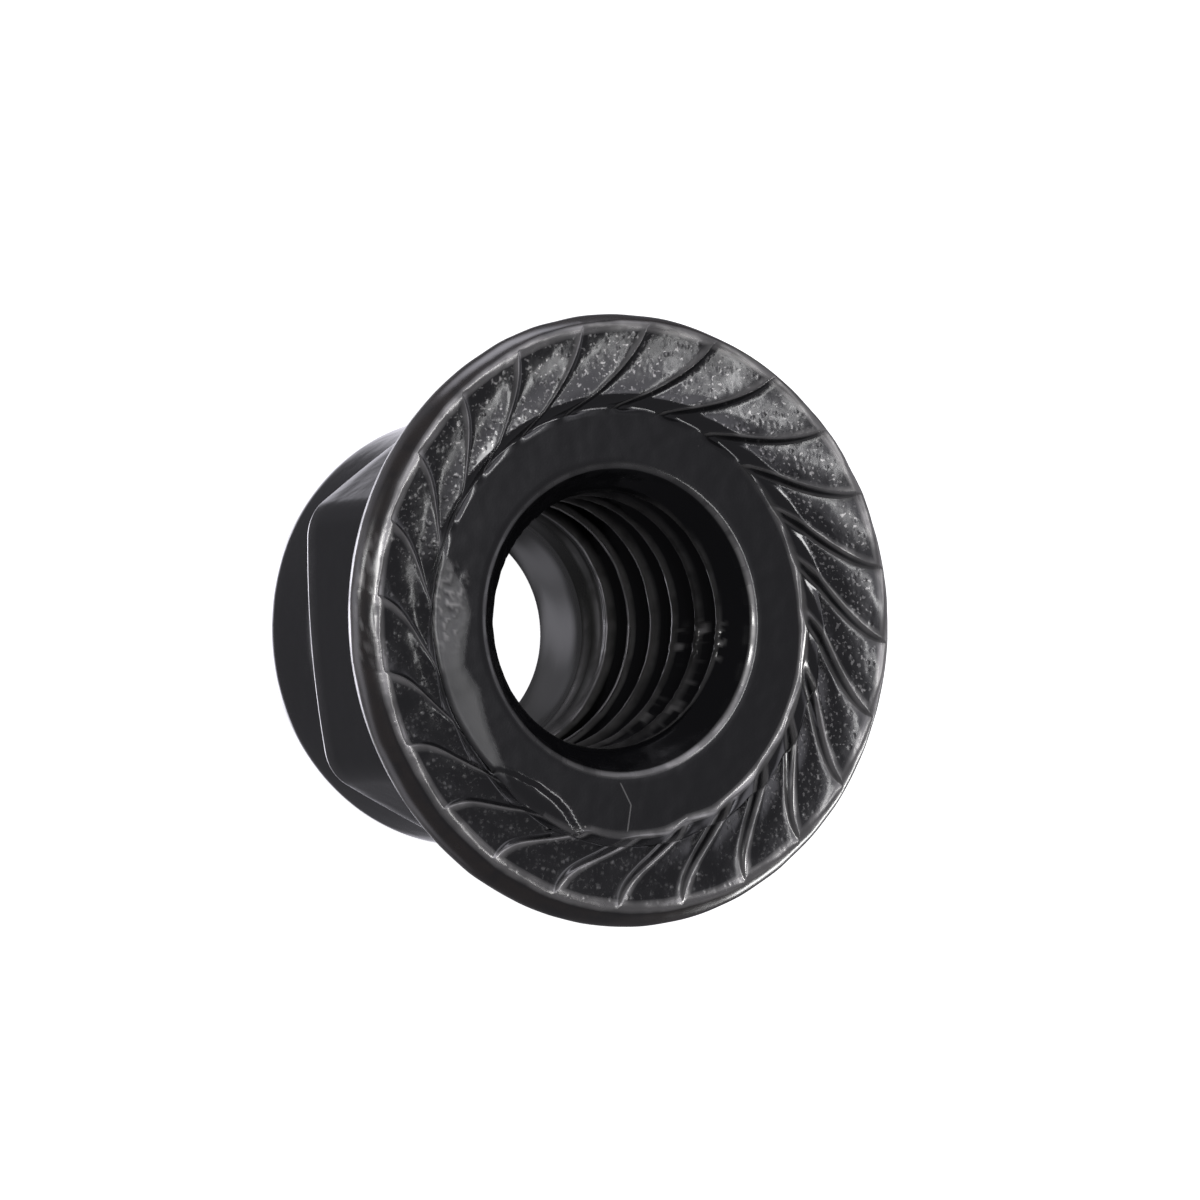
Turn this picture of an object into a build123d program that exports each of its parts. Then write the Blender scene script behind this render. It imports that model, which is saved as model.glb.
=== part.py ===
from build123d import *
import os
from math import degrees, radians, tan

# Serrated flange nut, one forged and tapped piece, in millimetres.
# It stands on its collar end at z = 0 with the serrated bearing face up.

# Thread: M10 coarse. The bore is left at the minor diameter.
thread_diameter = 10.0
thread_pitch = 1.5
thread_depth_ratio = 0.5413
countersink_diameter = 10.2
countersink_angle = 90.0

# Outlet: the last stretch of the bore, drawn in by the collar's end
outlet_length = 1.65
outlet_diameter = 7.4
outlet_edge = 0.05

# Wrench hexagon
nut_height = 12.9
across_flats = 15.0
hex_corner_radius = 1.3
hex_chamfer_angle = 24.0

# Round collar beyond the hexagon
collar_height = 4.2
collar_step = 0.21
collar_end_radius = 1.45

# Flange: coned back, drafted side and rounded rim
flange_diameter = 20.2
flange_bulge_depth = 0.75
rim_back_diameter = 19.86
rim_height = 1.29
flange_cone_angle = 25.0
flange_overlap = 1.5

# Bearing face: a slightly dished ring round a sunk, smooth relief
bearing_diameter = 19.2
bearing_dish = 0.16
relief_diameter = 14.6
relief_wall_run = 0.36
relief_depth = 0.77

# Serrations: saw teeth that sweep round as they run inward
tooth_count = 24
tooth_depth = 0.40
tooth_rim_depth = 0.22
tooth_wall_angle = 62.0
tooth_land = 0.06
tooth_lean = 23.0
tooth_sweep = 18.0
tooth_phase = 5.4
gap_overcut = 0.06
gap_headroom = 1.6
gap_end_margin = 0.02
gap_panels = 4

minor_radius = thread_diameter / 2 - thread_depth_ratio * thread_pitch
flat_radius = across_flats / 2
collar_radius = flat_radius - collar_step
flange_radius = flange_diameter / 2
bearing_radius = bearing_diameter / 2
relief_radius = relief_diameter / 2
relief_floor_radius = relief_radius - relief_wall_run
face_z = nut_height
rim_back_z = face_z - rim_height
relief_floor_z = face_z - relief_depth
bottom = (Align.CENTER, Align.CENTER, Align.MIN)


def revolved(*edges):
    """Solid turned about Z from a closed chain of edges in the XZ plane."""
    return revolve(make_face(Plane.XZ * Curve(edges)), Axis.Z)


# Collar with a rounded shoulder down to the flat end
collar = Cylinder(collar_radius, collar_height, align=bottom)
collar = fillet(collar.edges().sort_by(Axis.Z)[0], collar_end_radius)

# Hexagon with rounded corners, its end turned off to a chamfer
hexagon = RegularPolygon(flat_radius, 6, major_radius=False, rotation=30)
hexagon = fillet(hexagon.vertices(), hex_corner_radius)
hexagon = Pos(0, 0, collar_height) * extrude(hexagon, rim_back_z - collar_height)
chamfer_rise = (flange_radius - collar_radius) * tan(radians(hex_chamfer_angle))
turned_line = Polyline(
    (0, collar_height),
    (collar_radius, collar_height),
    (flange_radius, collar_height + chamfer_rise),
    (flange_radius, face_z),
    (0, face_z),
    close=True,
)
hexagon = hexagon & revolved(*turned_line.edges())

# Flange: coned back, drafted side, rounded rim, dished face and the relief
rim_back_radius = rim_back_diameter / 2
cone_radius = flat_radius - flange_overlap
cone_z = rim_back_z - (rim_back_radius - cone_radius) * tan(radians(flange_cone_angle))
widest = (flange_radius, face_z - flange_bulge_depth)
rim = TangentArc(widest, (bearing_radius, face_z), tangent=(0, 1))
flange_line = Polyline(
    (bearing_radius, face_z),
    (relief_radius, face_z - bearing_dish),
    (relief_floor_radius, relief_floor_z),
    (0, relief_floor_z),
    (0, cone_z),
    (cone_radius, cone_z),
    (rim_back_radius, rim_back_z),
    widest,
)
flange = revolved(rim, *flange_line.edges())

body = collar + hexagon + flange

# Bore: countersink, straight stretch, then the outlet
countersink_radius = countersink_diameter / 2
countersink_slope = tan(radians(countersink_angle / 2))
thread_top_z = relief_floor_z - (countersink_radius - minor_radius) / countersink_slope
outlet_radius = outlet_diameter / 2
bore_line = Polyline(
    (0, face_z),
    (countersink_radius + relief_depth * countersink_slope, face_z),
    (minor_radius, thread_top_z),
    (minor_radius, outlet_length),
    (outlet_radius, outlet_edge),
    (outlet_radius + outlet_edge, 0),
    (0, 0),
    close=True,
)
body -= revolved(*bore_line.edges())


def tooth_angle(radius):
    """Angle of a tooth's edge in degrees, where it crosses a radius."""
    run = bearing_radius - radius
    width = bearing_radius - relief_radius
    lean = tan(radians(tooth_lean)) / bearing_radius
    curl = (radians(tooth_sweep) - lean * width) / width**2
    return tooth_phase + degrees(lean * run + curl * max(run, 0) ** 2)


def tooth_section(radius):
    """Section of the gap between two tooth edges, at one radius."""
    inward = (bearing_radius - radius) / (bearing_radius - relief_radius)
    surface = face_z - bearing_dish * inward
    drop = tooth_rim_depth + (tooth_depth - tooth_rim_depth) * inward
    start = Vector(radius, 0).rotate(Axis.Z, tooth_angle(radius))
    end = start.rotate(Axis.Z, 360 / tooth_count)
    along = (end - start).normalized()
    wall = drop / tan(radians(tooth_wall_angle))
    low = (end - start).length - tooth_land / 2 - wall
    ramp = low - tooth_land / 2
    carried_on = 1 + gap_overcut / drop
    points = [
        (low, surface - drop),
        (low + wall * carried_on, surface + gap_overcut),
        (low + wall * carried_on, surface + gap_headroom),
        (low - ramp * carried_on, surface + gap_headroom),
        (low - ramp * carried_on, surface + gap_overcut),
    ]
    corners = [start + along * run + Vector(0, 0, height) for run, height in points]
    return make_face(Polyline(*corners, close=True))


# Each gap is lofted from the relief out past the rim and cut round the face.
# Every other gap is cut first, so that neighbouring tools never touch.
gap_start = relief_floor_radius - gap_end_margin
gap_length = flange_radius + gap_end_margin - gap_start
gap_radii = [gap_start + gap_length * n / gap_panels for n in range(gap_panels + 1)]
gap = loft([tooth_section(radius) for radius in gap_radii], ruled=True)
places = list(PolarLocations(0, tooth_count))
body -= [place * gap for place in places[0::2]]
body -= [place * gap for place in places[1::2]]

os.makedirs("parts", exist_ok=True)
export_step(body, "parts/flange_nut.step")
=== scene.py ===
import bpy
import bmesh
from math import atan2, cos, degrees, hypot, pi, radians, sin, sqrt, tan
from mathutils import Matrix, Vector, noise
from mathutils.geometry import intersect_point_line


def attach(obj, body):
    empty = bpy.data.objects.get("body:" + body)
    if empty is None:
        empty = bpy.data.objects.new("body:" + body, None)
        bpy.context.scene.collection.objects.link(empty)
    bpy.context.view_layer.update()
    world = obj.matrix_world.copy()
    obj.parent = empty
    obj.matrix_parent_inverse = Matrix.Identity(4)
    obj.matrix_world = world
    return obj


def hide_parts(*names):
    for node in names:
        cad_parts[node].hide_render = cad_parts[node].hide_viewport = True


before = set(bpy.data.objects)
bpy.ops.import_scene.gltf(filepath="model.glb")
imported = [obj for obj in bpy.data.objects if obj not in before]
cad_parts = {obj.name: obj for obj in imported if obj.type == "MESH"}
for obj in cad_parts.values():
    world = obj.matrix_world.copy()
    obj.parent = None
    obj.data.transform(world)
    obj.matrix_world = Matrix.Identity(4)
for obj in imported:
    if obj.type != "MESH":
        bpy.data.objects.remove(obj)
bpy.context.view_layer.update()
mm = 0.001

# A black serrated flange nut that stands on its collar end, toothed face up.
# Lengths are in millimetres and angles in degrees until the mesh is finished.

# The section: out of the outlet, up the bore, over the face, down the outside.
# Each corner has its radius, its height, how far its rounding reaches along
# the edges, the steps of that arc, and the row spacing up to the next corner.
outline = {
    "outletEnd": (3.70, 0.00, 0.05, 2, 0.55),
    "outletTop": (4.188, 1.65, 0.25, 2, 0.225),
    "threadEnd": (4.188, 3.00, 0, 0, 0.141),
    "mouthFoot": (4.188, 11.218, 0, 0, 0.13),
    "mouth": (5.10, 12.13, 0.16, 5, 0.17),
    "ringInner": (5.60, 12.13, 0, 0, 0.09),
    "ringOuter": (6.98, 12.13, 0.12, 5, 0.10),
    "toothInner": (7.44, 12.75, 0.11, 4, 0.107),
    "toothOuter": (9.58, 12.90, 0.14, 6, 0.10),
    "rimTop": (10.1, 12.66, 0.48, 9, 0.10),
    "rimFoot": (10.1, 12.15, 0.10, 4, 0.12),
    "rimBack": (9.93, 11.61, 0.10, 4, 0.14),
    "root": (8.459, 10.924, 0.40, 6, 0.65),
    "chamfer": (8.459, 4.7205, 0.20, 5, 0.20),
    "collar": (7.29, 4.20, 0.10, 2, 0.45),
    "collarEnd": (7.29, 0.00, 1.45, 12, 0.45),
}
outletTop = outline["outletTop"][1]
crestRadius, mouthFoot = outline["mouthFoot"][:2]
ringRadius, ringHeight = outline["ringOuter"][:2]
innerRadius, innerHeight = outline["toothInner"][:2]
outerRadius, outerHeight = outline["toothOuter"][:2]
rimRadius = outline["rimFoot"][0]
backRadius = outline["rimBack"][0]
cornerRadius, rootHeight = outline["root"][:2]
chamferHeight = outline["chamfer"][1]
collarRadius = outline["collar"][0]
wallRise = innerHeight - ringHeight

# How close two points count as one, a point as on a line, and a radius as the collar's
closeness = {"point": 0.002, "line": 0.0005, "collar": 0.001}

# Radii and heights that tell the bore, the back, the flange and the face apart
limits = {
    "boreRadius": 5.2,
    "outletEdge": 0.15,
    "backHeight": 11.7,
    "faceHeight": 12.1,
    "flangeHeight": 11,
    "closeToRing": 0.12,
}

# The teeth lean and curl as they run inward, and grow from the rim depth to the
# full one. Their ring sits off centre to one side, their outer edge to another.
teeth = {
    "count": 24,
    "columns": 19,
    "depth": 0.40,
    "depthCurve": 0.75,
    "rimDepth": 0.10,
    "rimDepthSwing": 0.25,
    "wallAngle": 45,
    "sweep": 15.5,
    "straight": 0.28,
    "curl": 2.4,
    "phase": 6.6,
    "offCentre": 0.15,
    "offToward": 6,
    "rimSwing": 0.35,
    "driftFrom": (5.8, 6.8),
    "rimOffset": 0.20,
    "rimToward": 35,
    "rimShifted": (innerRadius, 9.0, 9.62, rimRadius),
    "jitter": 0.7,
    "jitterSpread": 1.37,
    "jitterSeed": 2.1,
    "round": 0.17,
    "rimRound": 0.07,
    "rimMeet": 0.02,
}
toothAngle = 2 * pi / teeth["count"]
columnAngle = toothAngle / teeth["columns"]
wallSlope = tan(radians(teeth["wallAngle"]))

# How the mesh columns of a tooth stand: the two on its crest and the first at
# its foot by the reach of its rounding, the others on the wall as shares of it.
# Inside the ring and under the rim they pass over to even steps.
comb = {
    "onCrest": 2,
    "crestStep": 0.4,
    "onWall": (0.08, 0.3, 0.5, 0.7, 0.88),
    "lowest": 10,
    "faceFrom": 12.0,
    "ring": (5.6, 6.8),
    "rim": 9.9,
    "underRim": 0.8,
}


def smoothMax(first, second, blend):
    reach = max(blend - abs(first - second), 0) / blend
    return max(first, second) + reach * reach * blend / 4


def smoothMin(first, second, blend):
    return -smoothMax(-first, -second, blend)


def fade(value, start, end):
    share = min(max((value - start) / (end - start), 0), 1)
    return share * share * (3 - 2 * share)


def band(value, start, full, wane, end):
    # 1 between full and wane, 0 before start and after end
    return fade(value, start, full) * (1 - fade(value, wane, end))


def towards(turn, angle, sharpness=1):
    # 1 on the side of the nut at an angle, 0 on the half away from it
    return max(cos(turn - radians(angle)), 0) ** sharpness


def noiseAt(place, scale, seed):
    return noise.noise(Vector(place) * scale + Vector((seed, seed, seed)))


def makeSection(bm):
    rows = list(outline.values())
    corners = [bm.verts.new((row[0], 0, row[1])) for row in rows]
    places = [corner.co.copy() for corner in corners]
    for first, second in zip(corners, corners[1:] + corners[:1]):
        bm.edges.new((first, second))
    for corner, row in zip(corners, rows):
        reach, steps = row[2:4]
        if reach:
            bmesh.ops.bevel(
                bm, geom=[corner], offset=reach, offset_type="OFFSET", segments=steps,
                profile=0.5, affect="VERTICES", material=-1)
    bmesh.ops.remove_doubles(bm, verts=bm.verts[:], dist=closeness["point"])
    for first, second, row in zip(places, places[1:] + places[:1], rows):
        for edge in bm.edges[:]:
            middle = (edge.verts[0].co + edge.verts[1].co) / 2
            nearest, share = intersect_point_line(middle, first, second)
            onStretch = (middle - nearest).length < closeness["line"] and 0 < share < 1
            cuts = int(round(edge.calc_length() / row[4])) - 1
            if onStretch and cuts > 0:
                bmesh.ops.subdivide_edges(bm, edges=[edge], cuts=cuts)


def inwardShare(radius):
    # 0 at the outer end of the teeth and 1 at their inner end
    return (outerRadius - radius) / (outerRadius - innerRadius)


def toothDepth(radius, turn):
    # At the rim the teeth are a little deeper on the side they are off centre to
    swing = teeth["rimDepthSwing"]
    rimDepth = teeth["rimDepth"] * (1 - swing + swing * cos(turn - radians(teeth["offToward"])))
    inward = max(inwardShare(radius), 0) ** teeth["depthCurve"]
    return rimDepth + (teeth["depth"] - rimDepth) * inward


def crestHeight(radius):
    outward = (radius - innerRadius) / (outerRadius - innerRadius)
    return innerHeight + (outerHeight - innerHeight) * outward


def toothTurn(radius):
    # A tooth's edge leaves the rim almost straight and bends as it runs inward
    inward = inwardShare(radius)
    bend = teeth["straight"] * inward + (1 - teeth["straight"]) * max(inward, 0) ** teeth["curl"]
    return radians(teeth["phase"] + teeth["sweep"] * bend)


def toothRound(radius):
    return teeth["rimRound"] + (teeth["round"] - teeth["rimRound"]) * max(inwardShare(radius), 0)


def combPlace(step, pitch, wall, reach):
    # Columns crowd round a tooth's crest, wall and foot, and spread on its ramp
    foot = pitch - wall
    crest = comb["onCrest"]
    onWall = [-comb["crestStep"] * reach] + [share * wall for share in comb["onWall"]]
    firstOnWall = teeth["columns"] - len(onWall)
    if step < crest:
        return step * comb["crestStep"] * reach
    if step >= firstOnWall:
        return foot + onWall[step - firstOnWall]
    return reach + (foot - 2 * reach) * (step - crest) / (firstOnWall - crest - 1)


def toothDip(place, pitch, wall, depth, blend):
    # How far the face lies below the crests, at a place along one tooth
    ramp = depth * place / (pitch - wall)
    steep = depth * (pitch - place) / wall
    dip = smoothMin(ramp, steep, blend)
    beyond = max(-depth * place / wall, depth * (place - pitch) / (pitch - wall))
    return smoothMax(dip, beyond, blend) - blend / 4


def toothJitter(tooth):
    return noise.noise(Vector((tooth * teeth["jitterSpread"], teeth["jitterSeed"], 0))) * teeth["jitter"]


def toothDrift(turn, tooth, share, radius):
    # The toothed ring sits a little off centre, and no two teeth are quite alike
    own = toothJitter(tooth)
    own = own + (toothJitter(tooth + 1) - own) * share
    outward = fade(radius, innerRadius, outerRadius)
    swing = teeth["offCentre"] / innerRadius * (1 - outward * (1 - teeth["rimSwing"]))
    return radians(own) - swing * sin(turn - radians(teeth["offToward"]))


class Spot:
    # A vertex on its way from the drawn section to its place on the nut. Along
    # is its distance from its tooth's crest, and share is the same as a part of
    # the tooth's pitch. Ramp and edge are the masks that the coat reads.
    def __init__(self, place):
        self.radius = self.drawnRadius = hypot(place.x, place.y)
        self.height = self.drawnHeight = place.z
        angle = atan2(place.y, place.x)
        column = round(angle / columnAngle) % (teeth["count"] * teeth["columns"])
        self.tooth, step = divmod(column, teeth["columns"])
        held = min(max(self.radius, ringRadius), rimRadius)
        self.pitch = held * toothAngle
        self.depth = toothDepth(held, angle)
        self.wall = self.depth / wallSlope
        self.foot = self.pitch - self.wall
        self.blend = toothRound(held)
        self.along = combPlace(step, self.pitch, self.wall, self.blend / 2)
        self.inBore = self.radius < limits["boreRadius"] and self.height > limits["outletEdge"]
        self.onBack = self.height < limits["backHeight"] and not self.inBore
        self.onFace = self.height > limits["faceHeight"]
        self.toothStart = toothTurn(held if self.onFace or self.inBore else rimRadius)
        even = self.pitch * step / teeth["columns"]
        combed = self.combed()
        self.share = (self.along * combed + even * (1 - combed)) / self.pitch
        self.turn = self.toothStart + (self.tooth + self.share) * toothAngle
        self.ramp = band(self.along, 0, self.blend, self.foot - self.blend, self.foot)
        self.edge = 0

    def combed(self):
        # Columns are combed on the face and the rim, even on the back and in the bore
        if self.inBore or self.height < comb["lowest"]:
            return 0
        if self.height > comb["faceFrom"]:
            return fade(self.radius, *comb["ring"])
        return 1 - fade(comb["rim"] - self.radius, 0, comb["underRim"])

    def point(self, stretch=1):
        return (self.radius * cos(self.turn), self.radius * sin(self.turn), self.height * stretch)


def sinkTeeth(spot):
    if not spot.onFace or spot.radius <= ringRadius - limits["closeToRing"]:
        return
    dip = toothDip(spot.along, spot.pitch, spot.wall, spot.depth, spot.blend)
    if spot.radius < innerRadius:
        lift = max(spot.height - ringHeight, 0)
        spot.height = min(spot.height, ringHeight) + lift * (1 - dip / wallRise)
    else:
        spot.height = smoothMin(spot.height, crestHeight(spot.radius) - dip, teeth["rimMeet"])


# Edges where the coat is rubbed thin, whose bare steel also paints highlight lines along them:
# how far it reaches from the corner, how strong it is, and the share of it that the side away from the
# painted highlights keeps.
edgeWearAndHighlights = {
    "mouth": (0.14, 0.9, 0.15),
    "toothOuter": (0.22, 1.0, 1.0),
    "ringOuter": (0.22, 1.0, 0.0),
    "rimFoot": (0.15, 0.8, 1.0),
    "rimBack": (0.20, 0.9, 1.0),
    "chamfer": (0.22, 1.0, 1.0),
    "collar": (0.12, 0.6, 1.0),
}

# The side of the nut, as an angle, where the wear and the painted highlight lines are strongest
highlightSide = -48

# Bare steel along the crests and the feet of the teeth: wear on the crests, and painted highlight lines on
# crests and feet
teethWearAndHighlights = {
    "sideSharpness": 1.2,
    "fullShare": 0.4,
    "from": 0.02,
    "crest": 0.85,
    "crestReach": 0.10,
    "crestSideReach": 0.08,
    "foot": 0.6,
    "footReach": 0.09,
    "radii": (6.95, 7.15, 9.5, 9.7),
}


def markEdgeWearAndHighlights(spot):
    # Bare steel on edges, crests and feet: rubbed coat, and painted highlight lines, brightest on one side
    toothAt = spot.toothStart + spot.tooth * toothAngle
    facing = towards(toothAt, highlightSide, teethWearAndHighlights["sideSharpness"])
    for name, (reach, strength, kept) in edgeWearAndHighlights.items():
        cornerAt, cornerHeight = outline[name][:2]
        away = hypot(spot.drawnRadius - cornerAt, spot.drawnHeight - cornerHeight)
        near = 1 - fade(away, teethWearAndHighlights["fullShare"] * reach, reach)
        spot.edge = max(spot.edge, strength * near * (kept + (1 - kept) * facing))
    if not spot.onFace or spot.drawnRadius <= ringRadius:
        return
    onTeeth = band(spot.drawnRadius, *teethWearAndHighlights["radii"])
    crestReach = teethWearAndHighlights["crestReach"] + teethWearAndHighlights["crestSideReach"] * facing
    nearCrest = 1 - fade(min(spot.along, spot.pitch - spot.along), teethWearAndHighlights["from"], crestReach)
    nearFoot = 1 - fade(abs(spot.along - spot.foot), teethWearAndHighlights["from"], teethWearAndHighlights["footReach"])
    spot.edge = max(spot.edge, teethWearAndHighlights["crest"] * nearCrest * onTeeth)
    # A painted highlight line along the foot of each tooth
    spot.edge = max(spot.edge, teethWearAndHighlights["foot"] * facing * nearFoot * onTeeth)


# Marks that the forging left on the face. The lines run round the nut, each
# point with its angle and its radius.
creaseLine = [
    (157, 6.98), (166, 5.95), (174, 5.70), (189.5, 6.16), (198.6, 5.87), (208, 6.13), (216, 6.34),
    (223, 6.65), (229, 6.98),
]
flapLine = [
    (219, 6.98), (222.6, 6.62), (227, 6.37), (234.6, 6.20), (242, 6.27), (246.6, 6.43), (251, 6.78),
    (253, 6.98),
]
footLine = [
    (222, 6.98), (236, 7.08), (250, 7.20), (255, 7.04), (264, 7.12), (279, 7.16), (286, 7.02),
    (294, 7.18), (320, 7.12), (345, 7.08), (359, 6.98),
]
flaws = {
    "creaseSlope": 0.17,
    "creaseOnset": 0.5,
    "creaseRagged": 0.03,
    "raggedStep": 0.3,
    "raggedSeed": 7.3,
    "creaseMask": (0.15, 0.02),
    "creaseEnd": 6.9,
    "flapDepth": 0.09,
    "flapWidth": 0.15,
    "flapBeyond": 0.1,
    "footFrom": (6.0, 6.9),
    "footOnWall": 0.4,
    "filletSharpness": 0.5,
    "filletReach": 0.13,
    "filletTight": 0.95,
}

# Uneven metal: how far it rises, then the scale, seed and share of each noise in it
lumps = {
    "ramp": (0.010, (1.1, 3, 1), (2.6, 8, 0.5)),
    "toothEdge": (0.035, (0.9, 5, 1), (2.4, 1, 0.6)),
    "rim": (0.030, (1.0, 11, 1)),
    "bore": (0.020, (1.3, 4, 1), (3.1, 9, 0.5)),
}

# Where the lumps of the face and the rim set in and end
lumpRadii = {"ramp": (7.1, 7.5), "toothEdge": (9.2, 9.4, 9.7, 10.0), "rim": (9.6, 9.9)}
lumpHeights = {"tooth": (12.3, 12.6), "rim": (11.9, 12.2)}

# Fine grit on one side of the ring and of the rim
speckle = {
    "turn": 172,
    "reach": 14,
    "height": 0.028,
    "lowest": 12,
    "ring": (5.7, 6.1, 6.8, 7.0),
    "rim": (9.6, 9.7, 10.0, 10.09),
    "grain": (45, 7, 5),
    "seed": 2,
    "wear": 0.7,
    "bare": (0.15, 0.3),
}


def follow(line, turn):
    # Radius of a mark at one angle, straight between the points of its line
    angle = degrees(turn) % 360
    for (firstAngle, first), (secondAngle, second) in zip(line, line[1:]):
        if firstAngle <= angle <= secondAngle:
            return first + (second - first) * (angle - firstAngle) / (secondAngle - firstAngle)
    return ringRadius


def fromAngle(turn, angle):
    # Signed degrees from an angle, the short way round
    return (degrees(turn) - angle + 180) % 360 - 180


def lump(name, point):
    rise, *layers = lumps[name]
    return rise * sum(share * noiseAt(point, scale, seed) for scale, seed, share in layers)


def sunkRing(radius, turn):
    # How far the ring lies below its turned height, by its crease and its flap
    raggedPlace = Vector((degrees(turn) * flaws["raggedStep"], flaws["raggedSeed"], 0))
    crease = follow(creaseLine, turn) + flaws["creaseRagged"] * noise.noise(raggedPlace)
    beyond = max(radius - crease, 0)
    sunk = flaws["creaseSlope"] * beyond * beyond / (beyond + flaws["creaseOnset"])
    flap = follow(flapLine, turn)
    full = flap + flaws["flapWidth"]
    groove = band(radius, flap, full, full, ringRadius + flaws["flapBeyond"])
    return sunk + flaws["flapDepth"] * groove


def tightenFillet(spot):
    # The fillet at the foot of the wall is wide on the side of the painted highlights and tight elsewhere
    tight = flaws["filletTight"] * (1 - towards(spot.turn, highlightSide, flaws["filletSharpness"]))
    across = spot.drawnRadius - ringRadius
    up = spot.drawnHeight - ringHeight
    if hypot(across, up) < flaws["filletReach"]:
        spot.radius -= across * tight
        spot.height -= up * tight


def creaseRing(spot, onFloor):
    if not spot.onFace or spot.drawnRadius >= innerRadius:
        return
    pull = ringRadius - follow(footLine, spot.turn)
    weight = flaws["footOnWall"] + (1 - flaws["footOnWall"]) * onFloor
    spot.radius -= pull * weight * fade(spot.drawnRadius, *flaws["footFrom"])
    spot.height -= sunkRing(min(spot.drawnRadius, ringRadius), spot.turn) * onFloor
    crease = follow(creaseLine, spot.turn)
    start, full = flaws["creaseMask"]
    spot.ramp = fade(spot.drawnRadius, crease - start, crease - full) * (crease < flaws["creaseEnd"])


def roughenFace(spot):
    point = spot.point()
    onTeeth = fade(spot.drawnHeight, *lumpHeights["tooth"])
    onRamp = fade(spot.drawnRadius, *lumpRadii["ramp"]) * onTeeth
    onEdge = band(spot.drawnRadius, *lumpRadii["toothEdge"]) * onTeeth
    onRim = fade(spot.drawnRadius, *lumpRadii["rim"]) * fade(spot.drawnHeight, *lumpHeights["rim"])
    spot.height += lump("ramp", point) * onRamp
    spot.radius += lump("toothEdge", point) * onEdge
    spot.radius += lump("rim", point) * onRim


def speckleFace(spot):
    near = max(1 - (fromAngle(spot.turn, speckle["turn"]) / speckle["reach"]) ** 2, 0)
    onRing = band(spot.drawnRadius, *speckle["ring"]) * (spot.drawnHeight > speckle["lowest"])
    speckled = near * max(onRing, band(spot.drawnRadius, *speckle["rim"]))
    around, across, up = speckle["grain"]
    gritPlace = (spot.turn * around, spot.drawnRadius * across, spot.drawnHeight * up)
    grit = noiseAt(gritPlace, 1, speckle["seed"])
    spot.height += speckle["height"] * speckled * grit
    spot.edge = max(spot.edge, speckle["wear"] * speckled * fade(grit, *speckle["bare"]))


def formFace(spot):
    drift = toothDrift(spot.turn, spot.tooth, spot.share, spot.drawnRadius)
    spot.turn += drift * fade(spot.radius, *teeth["driftFrom"])
    shifted = band(spot.radius, *teeth["rimShifted"])
    spot.radius += teeth["rimOffset"] * cos(spot.turn - radians(teeth["rimToward"])) * shifted
    onFloor = 1 - min(max(spot.height - ringHeight, 0) / wallRise, 1)
    tightenFillet(spot)
    creaseRing(spot, onFloor)
    roughenFace(spot)
    speckleFace(spot)


# Wrench hexagon: half its width across flats, and the blends at its two ends
hexagon = {
    "flat": 7.5,
    "cornerRound": 1.3,
    "coneSlope": tan(radians(25)),
    "coneBelow": 0.42,
    "coneFrom": 8.9,
    "coneInset": 0.2,
    "chamferSlope": tan(radians(24)),
    "chamferAbove": 0.2,
    "chamferRadii": (7.40, 8.30),
    "lowest": 4,
}


def hexagonRadius(turn):
    sixth = radians(60)
    off = abs((turn + sixth / 2) % sixth - sixth / 2)
    straight = (hexagon["flat"] - hexagon["cornerRound"]) * tan(sixth / 2)
    if hexagon["flat"] * tan(off) < straight:
        return hexagon["flat"] / cos(off)
    centre = (hexagon["flat"] - hexagon["cornerRound"]) / cos(sixth / 2)
    toCorner = sixth / 2 - off
    chord = hexagon["cornerRound"] ** 2 - (centre * sin(toCorner)) ** 2
    return centre * cos(toCorner) + sqrt(chord)


def formHexagon(spot):
    # The turned back is pressed in to the flats, down the cone and up the chamfer
    if spot.height <= hexagon["lowest"] or spot.radius <= collarRadius - closeness["collar"]:
        return
    press = cornerRadius - hexagonRadius(spot.turn)
    slope = hexagon["coneSlope"]
    weight = 1
    if spot.height > rootHeight - hexagon["coneBelow"]:
        run = backRadius - hexagon["coneInset"] - hexagon["coneFrom"]
        weight = max(1 - max(spot.radius - hexagon["coneFrom"], 0) / run, 0)
    if spot.height < chamferHeight + hexagon["chamferAbove"]:
        slope = hexagon["chamferSlope"]
        start, end = hexagon["chamferRadii"]
        weight = min(max((spot.radius - start) / (end - start), 0), 1)
    spot.radius -= press * weight
    spot.height -= press * weight * slope


# Female thread. It fades out above the outlet and below the mouth. Each row of
# the mesh climbs with the helix and comes back down within the back turn.
thread = {
    "pitch": 1.5,
    "rootRadius": 4.98,
    "crestFlat": 0.20,
    "rootFlat": 0.20,
    "round": 0.18,
    "phase": 0.476,
    "shallow": (2.9, 4.6),
    "mouthFade": 0.6,
    "mouthShare": 0.75,
    "meet": 0.04,
    "backTurn": 60,
    "climbFrom": (2.4, 3.6),
    "climbTo": (10.9, 12.10),
    "cutTo": 12.07,
}

# Tears and painted highlights in the bore: bare steel along the thread crests paints highlight lines that
# fade towards the mouth, a crescent of it low in the bore paints a highlight, and on the burrs it paints
# glints. Each burr has its angle, its reach to either side, the heights where it starts and ends, and its
# strength.
bore = {
    "marksTo": 11.3,
    "lumpStretch": 2,
    "tappedFrom": (2.6, 4.0),
    "tappedTo": (4.9, 5.05),
    "crestHighlight": (0.03, 0.14),
    "crestHighlightLoss": 0.75,
    "crestHighlightLossOver": (6.0, 9.5),
    "burrs": [(-12, 11, 8.0, 11.3, 1.0), (-44, 20, 8.0, 11.0, 0.5)],
    "burrRise": 0.08,
    "burrStart": 0.3,
    "burrEnd": 0.2,
    "burrDepth": (0.15, 0.45),
    "burrBareAndGlint": (0.05, 0.45),
    "tornGrain": (17, 6),
    "tornSeed": 6,
    "highlightCrescentTurn": -30,
    "highlightCrescentSharpness": 10,
    "highlightCrescentHeight": 2.4,
    "highlightCrescentReach": (0.08, 0.24),
}


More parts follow.
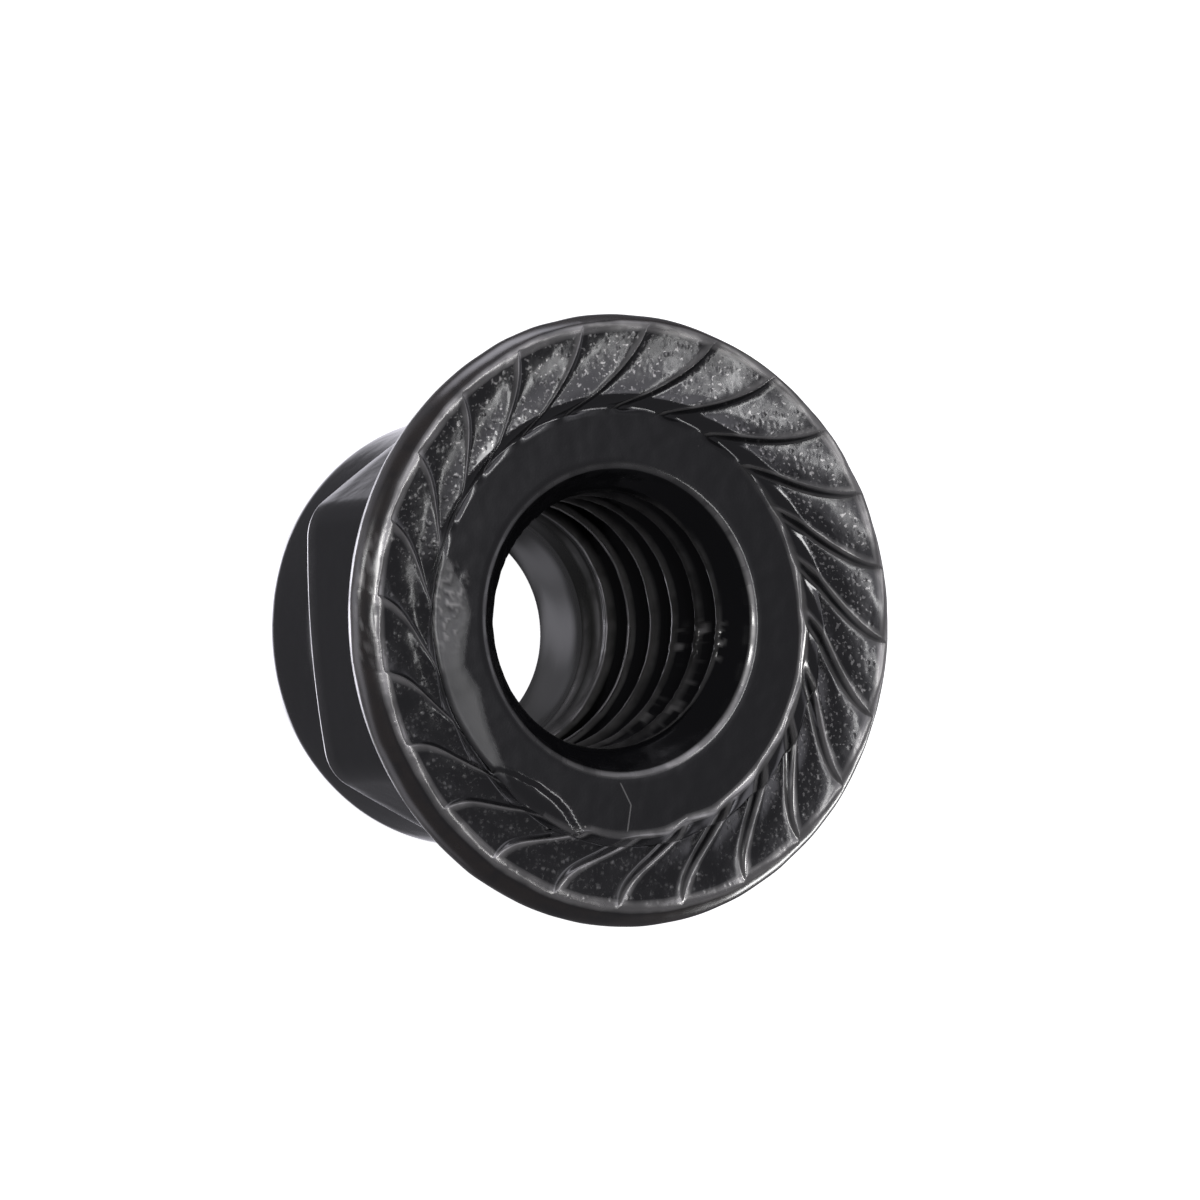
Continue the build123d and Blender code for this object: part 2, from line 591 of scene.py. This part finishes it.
def threadCut(turn, height):
    # Depth of the groove: nothing on the flat crests, then flanks, then the flat root
    pitch = thread["pitch"]
    along = abs((height / pitch - turn / (2 * pi) + thread["phase"]) % 1 - 0.5) * pitch
    fromCrest = pitch / 2 - along
    flank = (pitch - thread["crestFlat"] - thread["rootFlat"]) / 2
    deep = thread["rootRadius"] - crestRadius
    groove = deep * (fromCrest - thread["crestFlat"] / 2) / flank
    return smoothMin(smoothMax(groove, 0, thread["round"]), deep, thread["round"])


def boreRadius(turn, height, drawnRadius):
    plain = crestRadius + max(height - mouthFoot, 0)
    cut = threadCut(turn, height) * fade(height, *thread["shallow"])
    cut *= 1 - thread["mouthShare"] * fade(height, mouthFoot - thread["mouthFade"], mouthFoot)
    tapped = smoothMax(plain, crestRadius + cut, thread["meet"]) - thread["meet"] / 4
    return min(drawnRadius, tapped) if height < outletTop else tapped


def climbThread(spot):
    climbing = 360 - thread["backTurn"]
    around = (degrees(spot.turn) + 180) % 360
    climb = min(around / climbing, (360 - around) / thread["backTurn"]) - 0.5
    shift = climb * thread["pitch"] * climbing / 360
    spot.height += shift * band(spot.height, *thread["climbFrom"], *thread["climbTo"])


def burrAt(spot):
    burr = 0
    for angle, reach, start, end, strength in bore["burrs"]:
        off = fromAngle(spot.turn, angle) / reach
        inside = band(spot.height, start, start + bore["burrStart"], end, end + bore["burrEnd"])
        burr = max(burr, strength * (1 - off * off) * inside)
    return burr


def formBore(spot):
    climbThread(spot)
    if spot.height < thread["cutTo"]:
        spot.radius = boreRadius(spot.turn, spot.height, spot.radius)
    point = spot.point(bore["lumpStretch"])
    fromWall = spot.radius - crestRadius
    tapped = fade(spot.drawnHeight, *bore["tappedFrom"]) * (1 - fade(spot.drawnRadius, *bore["tappedTo"]))
    spot.radius += lump("bore", point) * tapped
    burr = burrAt(spot)
    # Painted highlight lines along the thread crests, weaker towards the mouth
    if spot.drawnHeight < bore["marksTo"]:
        kept = 1 - bore["crestHighlightLoss"] * fade(spot.drawnHeight, *bore["crestHighlightLossOver"])
        spot.edge = kept * (1 - fade(fromWall, *bore["crestHighlight"])) * tapped
        burr *= 1 - fade(fromWall, *bore["burrDepth"])
    # A painted highlight crescent low in the bore, on one side
    fromHighlightCrescent = abs(spot.drawnHeight - bore["highlightCrescentHeight"])
    onHighlightCrescent = 1 - fade(fromHighlightCrescent, *bore["highlightCrescentReach"])
    spot.edge = max(spot.edge, towards(spot.turn, bore["highlightCrescentTurn"], bore["highlightCrescentSharpness"]) * onHighlightCrescent)
    around, up = bore["tornGrain"]
    torn = noiseAt((spot.turn * around, spot.height * up, 0), 1, bore["tornSeed"])
    spot.radius += bore["burrRise"] * burr * torn
    # Bare steel on the burrs, which paints their glints
    spot.edge = max(spot.edge, burr * fade(torn, *bore["burrBareAndGlint"]))


def formNut(bm):
    rampLayer = bm.verts.layers.float.new("ramp")
    # The edge layer is bare steel: rubbed coat, painted highlight lines and painted glints
    edgeLayer = bm.verts.layers.float.new("edge")
    for vert in bm.verts:
        spot = Spot(vert.co)
        sinkTeeth(spot)
        markEdgeWearAndHighlights(spot)
        if spot.inBore:
            formBore(spot)
        elif spot.height > limits["flangeHeight"]:
            formFace(spot)
        if spot.onBack:
            formHexagon(spot)
        vert[rampLayer] = spot.ramp
        vert[edgeLayer] = spot.edge
        vert.co = spot.point()


def makeNut():
    bm = bmesh.new()
    makeSection(bm)
    print("section rows", len(bm.verts))
    bmesh.ops.spin(
        bm, geom=bm.verts[:] + bm.edges[:], cent=(0, 0, 0), axis=(0, 0, 1), angle=2 * pi,
        steps=teeth["count"] * teeth["columns"], use_merge=True)
    formNut(bm)
    bmesh.ops.recalc_face_normals(bm, faces=bm.faces[:])
    bmesh.ops.scale(bm, vec=(mm, mm, mm), verts=bm.verts[:])
    for face in bm.faces:
        face.smooth = True
    mesh = bpy.data.meshes.new("serratedNut")
    bm.to_mesh(mesh)
    bm.free()
    print("nut faces", len(mesh.polygons))
    piece = bpy.data.objects.new("serratedNut", mesh)
    bpy.context.scene.collection.objects.link(piece)
    return piece


nutPiece = makeNut()
print("nut made")


# Finish: glossy black coat over forged steel. The thread has a duller coat.
coat = {
    "black": (0.0060, 0.0060, 0.0068, 1),
    "brown": (0.0200, 0.0150, 0.0125, 1),
    "olive": (0.0100, 0.0105, 0.0060, 1),
    "dust": (0.30, 0.29, 0.27, 1),
    # Steel is bare metal: rubbed coat, painted highlight lines and painted glints
    "steel": (0.50, 0.49, 0.48, 1),
    "indexOfRefraction": 1.9,
    "threadRefraction": 1.3,
    "threadRadius": 5.03,
    "threadFrom": 2.2,
    "brownPatches": (0.2, 0.6),
}

# Stretches of the nut that the coat tells apart, by radius or by height
stretches = {
    "faceHeight": (11.80, 11.95),
    "teethFrom": (7.0, 7.5),
    "teethTo": (9.3, 9.7),
    "rimRadius": (9.5, 9.8),
    "rimHeight": (11.2, 11.6),
    "bore": (4.6, 5.2),
    "ring": (6.9, 7.1),
    "oliveBelow": (3.4, 4.2),
    "outletBelow": (1.7, 2.6),
}

roughness = {
    "coat": 0.13,
    "grain": 0.09,
    "rim": 0.14,
    "band": 0.20,
    "outlet": 0.15,
    "patches": 0.02,
    "dust": 0.4,
    "wear": 0.08,
}

# Grain of the ramps, made of round beads, and the orange peel of the rest
grain = {
    "height": 0.015,
    "scale": 3.2,
    "share": 0.6,
    "beadScale": 5.0,
    "beadSize": 0.6,
    "beadChosen": (0.45, 1.0),
    "patchScale": 1.1,
    "patches": (0.32, 0.6),
    "peelScale": 1.3,
    "peelHeight": 0.010,
    "peelLostInBore": 0.8,
    "fineScale": 14,
    "fineHeight": 0.0012,
}

# Bare metal, which also paints highlights and glints: on the rubbed edges, where it paints their highlight
# lines, on the tops of the beads, and as flecks on the ramps that paint glints. The flecks grow denser in
# one direction, given as shares of x and y, towards the side where the ramps catch the light.
wear = {
    "edge": 0.85,
    "edgeLeast": 0.5,
    "edgePatches": (0.35, 0.6),
    "bead": 0.6,
    "fleck": 0.85,
    "fleckScale": 7.5,
    "fleckDetail": 1.5,
    "fleckChosen": (0.58, 0.70),
    "fleckPatches": (0.3, 0.5),
    "fleckGlintsToward": (0.57, 0.82),
    "fleckGlintsFrom": (-6, 3),
    "fleckLeast": 0.15,
}

# A hairline across the ring, which runs along y and bends at its kink
hairline = {
    "kink": (-0.18, -6.09),
    "leanBeyond": 0.44,
    "leanBefore": 0.25,
    "halfWidth": (0.012, 0.035),
    "start": (-7.0, -6.9),
    "end": (-5.4, -5.3),
    "wear": 0.6,
}

dust = {"scale": 1.1, "chosen": (0.80, 0.82), "size": 0.05, "core": 0.6}


class Socket:
    # One output of a node. Arithmetic on it adds Math nodes.
    def __init__(self, nodes, output):
        self.nodes = nodes
        self.output = output

    def __add__(self, other):
        return self.nodes.math("ADD", self, other)

    def __sub__(self, other):
        return self.nodes.math("SUBTRACT", self, other)

    def __rsub__(self, other):
        return self.nodes.math("SUBTRACT", other, self)

    def __mul__(self, other):
        return self.nodes.math("MULTIPLY", self, other)

    def __pow__(self, other):
        return self.nodes.math("POWER", self, other)

    __radd__ = __add__
    __rmul__ = __mul__


class NodeTree:
    # The nodes of a material or the world. add() makes any node and returns one of its outputs.
    def __init__(self, owner, shader="Principled BSDF"):
        owner.use_nodes = True
        self.tree = owner.node_tree
        self.shader = self.tree.nodes[shader]

    def add(self, kind, settings, values, output=0):
        node = self.tree.nodes.new(kind)
        for name, value in settings.items():
            setattr(node, name, value)
        for name, value in values.items():
            self.feed(node.inputs[name], value)
        return Socket(self, node.outputs[output])

    def feed(self, slot, value):
        if isinstance(value, Socket):
            self.tree.links.new(value.output, slot)
        else:
            slot.default_value = value

    def math(self, operation, *values):
        return self.add("ShaderNodeMath", {"operation": operation}, dict(enumerate(values)))

    def greater(self, first, second):
        return self.math("MAXIMUM", first, second)

    def rise(self, value, start, end):
        # 0 before start, 1 after end and smooth between them
        return self.add(
            "ShaderNodeMapRange", {"interpolation_type": "SMOOTHSTEP"},
            {"Value": value, "From Min": start, "From Max": end})

    def fall(self, value, start, end):
        return 1 - self.rise(value, start, end)

    def noise(self, place, scale, detail=2):
        values = {"Vector": place, "Scale": scale, "Detail": detail}
        return self.add("ShaderNodeTexNoise", {}, values)

    def cells(self, place, scale):
        # Distance from the middle of each cell, and a shade of its own for each
        values = {"Vector": place, "Scale": scale}
        distance = self.add("ShaderNodeTexVoronoi", {}, values, "Distance")
        colour = self.add("ShaderNodeTexVoronoi", {}, values, "Color")
        return distance, self.add("ShaderNodeSeparateColor", {}, {0: colour})

    def tint(self, share, first, second):
        return self.add(
            "ShaderNodeMix", {"data_type": "RGBA"}, {0: share, 6: first, 7: second}, 2)


class CoatNodes(NodeTree):
    # The places, masks and noises that the coat's layers share, in millimetres
    def __init__(self, material):
        super().__init__(material)
        seen = self.add("ShaderNodeTexCoord", {}, {}, "Object")
        scaled = {0: seen, "Scale": 1 / mm}
        place = self.add("ShaderNodeVectorMath", {"operation": "SCALE"}, scaled)
        x, y, z = (self.add("ShaderNodeSeparateXYZ", {}, {0: place}, axis) for axis in "XYZ")
        self.place, self.x, self.y, self.z = place, x, y, z
        self.radius = (x * x + y * y) ** 0.5
        self.ramp = self.add("ShaderNodeAttribute", {"attribute_name": "ramp"}, {}, "Fac")
        self.edge = self.add("ShaderNodeAttribute", {"attribute_name": "edge"}, {}, "Fac")
        self.onFace = self.rise(z, *stretches["faceHeight"])
        self.onRamps = self.rise(self.radius, *stretches["teethFrom"])
        self.onRamps *= self.fall(self.radius, *stretches["teethTo"]) * self.onFace * self.ramp
        self.onRim = self.rise(self.radius, *stretches["rimRadius"]) * self.rise(z, *stretches["rimHeight"])
        self.inBore = self.fall(self.radius, *stretches["bore"])
        self.patches = self.noise(place, grain["patchScale"])
        self.grainy = self.onRamps * self.rise(self.patches, *grain["patches"])
        bead, shade = self.cells(place, grain["beadScale"])
        self.bead = self.fall(bead, 0.0, grain["beadSize"]) * self.rise(shade, *grain["beadChosen"])
        self.dusty = self.makeDust()
        self.bare = self.makeBareAndHighlights()

    def makeDust(self):
        distance, shade = self.cells(self.place, dust["scale"])
        chosen = self.rise(shade, *dust["chosen"])
        return chosen * self.fall(distance, dust["size"] * dust["core"], dust["size"]) * self.onFace

    def makeHairline(self):
        kinkX, kinkY = hairline["kink"]
        beyond = self.greater(self.y - kinkY, 0)
        before = self.greater(kinkY - self.y, 0)
        lean = hairline["leanBeyond"] * beyond + hairline["leanBefore"] * before
        away = self.math("ABSOLUTE", self.x - kinkX + lean)
        ends = self.rise(self.y, *hairline["start"]) * self.fall(self.y, *hairline["end"])
        return self.fall(away, *hairline["halfWidth"]) * ends * self.onFace * hairline["wear"]

    def makeFleckGlints(self):
        across, up = wear["fleckGlintsToward"]
        spread = self.noise(self.place, wear["fleckScale"], wear["fleckDetail"])
        chosen = self.rise(spread, *wear["fleckChosen"])
        # The flecks are painted glints, denser on the side where the ramps catch the light
        onLitSide = self.rise(self.x * across + self.y * up, *wear["fleckGlintsFrom"])
        weight = wear["fleckLeast"] + (1 - wear["fleckLeast"]) * onLitSide
        patchy = self.rise(self.patches, *wear["fleckPatches"])
        return self.onRamps * patchy * chosen * weight * wear["fleck"]

    def makeBareAndHighlights(self):
        least = wear["edgeLeast"]
        patchy = least + (1 - least) * self.rise(self.patches, *wear["edgePatches"])
        edge = self.edge * patchy * wear["edge"]
        bare = self.greater(edge, self.makeHairline())
        bare = self.greater(bare, self.grainy * self.bead ** 2 * wear["bead"])
        return self.greater(bare, self.makeFleckGlints())

    def makeColour(self):
        rimPatches = self.rise(self.patches, *coat["brownPatches"])
        brown = self.tint(self.onRim * rimPatches, coat["black"], coat["brown"])
        olive = self.tint(self.inBore * self.fall(self.z, *stretches["oliveBelow"]), brown, coat["olive"])
        # Bare steel: rubbed coat, painted highlight lines and painted glints
        steelAndHighlights = self.tint(self.bare, olive, coat["steel"])
        return self.tint(self.dusty, steelAndHighlights, coat["dust"])

    def makeRoughness(self):
        onBand = self.ramp * self.onFace * self.fall(self.radius, *stretches["ring"])
        inOutlet = self.inBore * self.fall(self.z, *stretches["outletBelow"])
        rough = roughness["coat"] + self.grainy * roughness["grain"] + self.onRim * roughness["rim"]
        rough = rough + onBand * roughness["band"] + inOutlet * roughness["outlet"]
        rough = rough + (self.patches - 0.5) * roughness["patches"]
        return rough + self.dusty * roughness["dust"] + self.bare * roughness["wear"]

    def makeBump(self):
        grains = self.noise(self.place, grain["scale"], 1) * grain["share"] + self.bead
        peel = self.noise(self.place, grain["peelScale"], 1) * (1 - grain["peelLostInBore"] * self.inBore)
        fine = self.noise(self.place, grain["fineScale"])
        height = self.grainy * grains * grain["height"] + peel * grain["peelHeight"]
        values = {"Strength": 1, "Distance": mm, "Height": height + fine * grain["fineHeight"]}
        return self.add("ShaderNodeBump", {}, values)


def makeCoat(name, refraction):
    material = bpy.data.materials.new(name)
    nodes = CoatNodes(material)
    inputs = nodes.shader.inputs
    nodes.feed(inputs["Base Color"], nodes.makeColour())
    nodes.feed(inputs["Roughness"], nodes.makeRoughness())
    nodes.feed(inputs["Metallic"], nodes.bare)
    nodes.feed(inputs["Normal"], nodes.makeBump())
    inputs["IOR"].default_value = refraction
    return material


def inThread(centre):
    return hypot(centre.x, centre.y) < coat["threadRadius"] * mm and centre.z > coat["threadFrom"] * mm


nutPiece.data.materials.append(makeCoat("blackCoat", coat["indexOfRefraction"]))
nutPiece.data.materials.append(makeCoat("threadCoat", coat["threadRefraction"]))
for face in nutPiece.data.polygons:
    face.material_index = 1 if inThread(face.center) else 0
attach(nutPiece, "root")
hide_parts("flange_nut")
print("coat made")

# Camera: looks down at the face, rolled so that the nut's axis runs sideways
view = {
    "tilt": 29.67,
    "lift": 4.26,
    "spin": 5.35,
    "distance": 280,
    "pixelsPerMm": 30.44,
    "faceCentre": (632.4, 619.4),
    "imageSize": 1200,
    "sensor": 36,
    "nearest": 10,
}


def cameraAxes():
    tilt, lift, spin = (radians(view[name]) for name in ("tilt", "lift", "spin"))
    nutZ = Vector((sin(tilt) * cos(lift), sin(tilt) * sin(lift), cos(tilt)))
    right = Vector((1, 0, 0))
    first = (right - nutZ * nutZ.dot(right)).normalized()
    second = nutZ.cross(first)
    nutX = cos(spin) * first + sin(spin) * second
    return Matrix((nutX, nutZ.cross(nutX), nutZ))


def makeCamera():
    axes = cameraAxes()
    half = view["imageSize"] / 2
    across = (view["faceCentre"][0] - half) / view["pixelsPerMm"]
    down = (view["faceCentre"][1] - half) / view["pixelsPerMm"]
    facePlace = axes @ Vector((across, -down, -view["distance"]))
    data = bpy.data.cameras.new("camera")
    data.sensor_width = view["sensor"]
    data.lens = view["pixelsPerMm"] * view["distance"] * view["sensor"] / view["imageSize"]
    data.clip_start = view["nearest"] * mm
    camera = bpy.data.objects.new("camera", data)
    place = (Vector((0, 0, outerHeight)) - facePlace) * mm
    camera.matrix_world = Matrix.Translation(place) @ axes.to_4x4()
    bpy.context.scene.collection.objects.link(camera)
    bpy.context.scene.camera = camera
    return camera


camera = makeCamera()
viewAxes = camera.matrix_world.to_3x3()


# Studio. Each direction is right, up and towards the viewer. A soft box fills
# its reach, the half angles across and up that the nut sees of it.
boxDistance = 300
boxAim = 10
boxes = {
    "stripHigh": {"direction": (0.72, 0.24, 0.65), "reach": (1.4, 12), "radiance": 6.5},
    "stripLow": {"direction": (0.73, -0.12, 0.67), "reach": (1.4, 9), "radiance": 5.5},
    "front": {"direction": (0.23, 0.17, 0.96), "reach": (7, 7), "radiance": 7},
    "frontLeft": {"direction": (-0.71, 0.30, 0.64), "reach": (4, 4), "radiance": 14},
    "lowRight": {"direction": (0.73, -0.44, -0.52), "reach": (8, 15), "radiance": 11},
}

# Soft glows of the walls around: direction, angle at which each has faded
# away, and radiance at its middle.
ambient = 0.13
ambientTint = (1.0, 0.985, 1.08, 1)
glows = {
    "key": ((0.50, 0.28, 0.82), 32, 0.6),
    "above": ((0.50, 0.77, 0.38), 26, 0.8),
    "aboveBack": ((-0.10, 0.97, -0.20), 24, 2.6),
    "ground": ((-0.20, 0.05, -0.98), 24, 1.4),
    "hexagonLine": ((-0.50, 0.0, -0.86), 16, 3.2),
    "right": ((0.98, 0.0, -0.19), 22, 0.6),
    "left": ((-0.98, 0.0, 0.20), 32, 1.2),
    "leftBack": ((-0.79, 0.58, -0.19), 30, 0.35),
    "lowLeft": ((-0.70, -0.71, 0.0), 28, 0.7),
}


def makeBox(name, direction, reach, radiance):
    data = bpy.data.lights.new(name, "AREA")
    data.shape = "RECTANGLE"
    data.size, data.size_y = (2 * boxDistance * mm * tan(radians(half)) for half in reach)
    data.energy = radiance * pi * data.size * data.size_y
    light = bpy.data.objects.new(name, data)
    way = (viewAxes @ Vector(direction)).normalized()
    across = (viewAxes @ Vector((0, 1, 0))).cross(way).normalized()
    turned = Matrix((across, way.cross(across), way)).transposed()
    centre = Vector((0, 0, boxAim * mm)) + way * boxDistance * mm
    light.matrix_world = Matrix.Translation(centre) @ turned.to_4x4()
    bpy.context.scene.collection.objects.link(light)


def makeStudio():
    world = bpy.data.worlds.new("studio")
    bpy.context.scene.world = world
    nodes = NodeTree(world, "Background")
    seen = nodes.add("ShaderNodeTexCoord", {}, {}, "Generated")
    total = ambient
    for direction, spread, radiance in glows.values():
        ways = {0: seen, 1: (viewAxes @ Vector(direction)).normalized()}
        along = nodes.add("ShaderNodeVectorMath", {"operation": "DOT_PRODUCT"}, ways, "Value")
        total = nodes.rise(along, cos(radians(spread)), 1) * radiance + total
    nodes.feed(nodes.shader.inputs["Strength"], total)
    nodes.shader.inputs["Color"].default_value = ambientTint
    for name, box in boxes.items():
        makeBox(name, **box)


makeStudio()
print("studio made")

# White ground, which the camera sees but the nut doesn't
ground = {
    "radius": 2,
    "corners": 64,
    "colour": (0.8, 0.8, 0.8, 1),
    "glow": (1, 1, 1, 1),
    "strength": 0.95,
}


def makeFloor():
    bm = bmesh.new()
    bmesh.ops.create_circle(bm, cap_ends=True, segments=ground["corners"], radius=ground["radius"])
    mesh = bpy.data.meshes.new("floor")
    bm.to_mesh(mesh)
    bm.free()
    floor = bpy.data.objects.new("floor", mesh)
    bpy.context.scene.collection.objects.link(floor)
    material = bpy.data.materials.new("paleFloor")
    inputs = NodeTree(material).shader.inputs
    inputs["Base Color"].default_value = ground["colour"]
    inputs["Emission Color"].default_value = ground["glow"]
    inputs["Emission Strength"].default_value = ground["strength"]
    mesh.materials.append(material)
    floor.visible_glossy = False
    floor.visible_diffuse = False
    floor.visible_shadow = False


makeFloor()
print("floor made")
bpy.context.scene.view_settings.view_transform = "Standard"
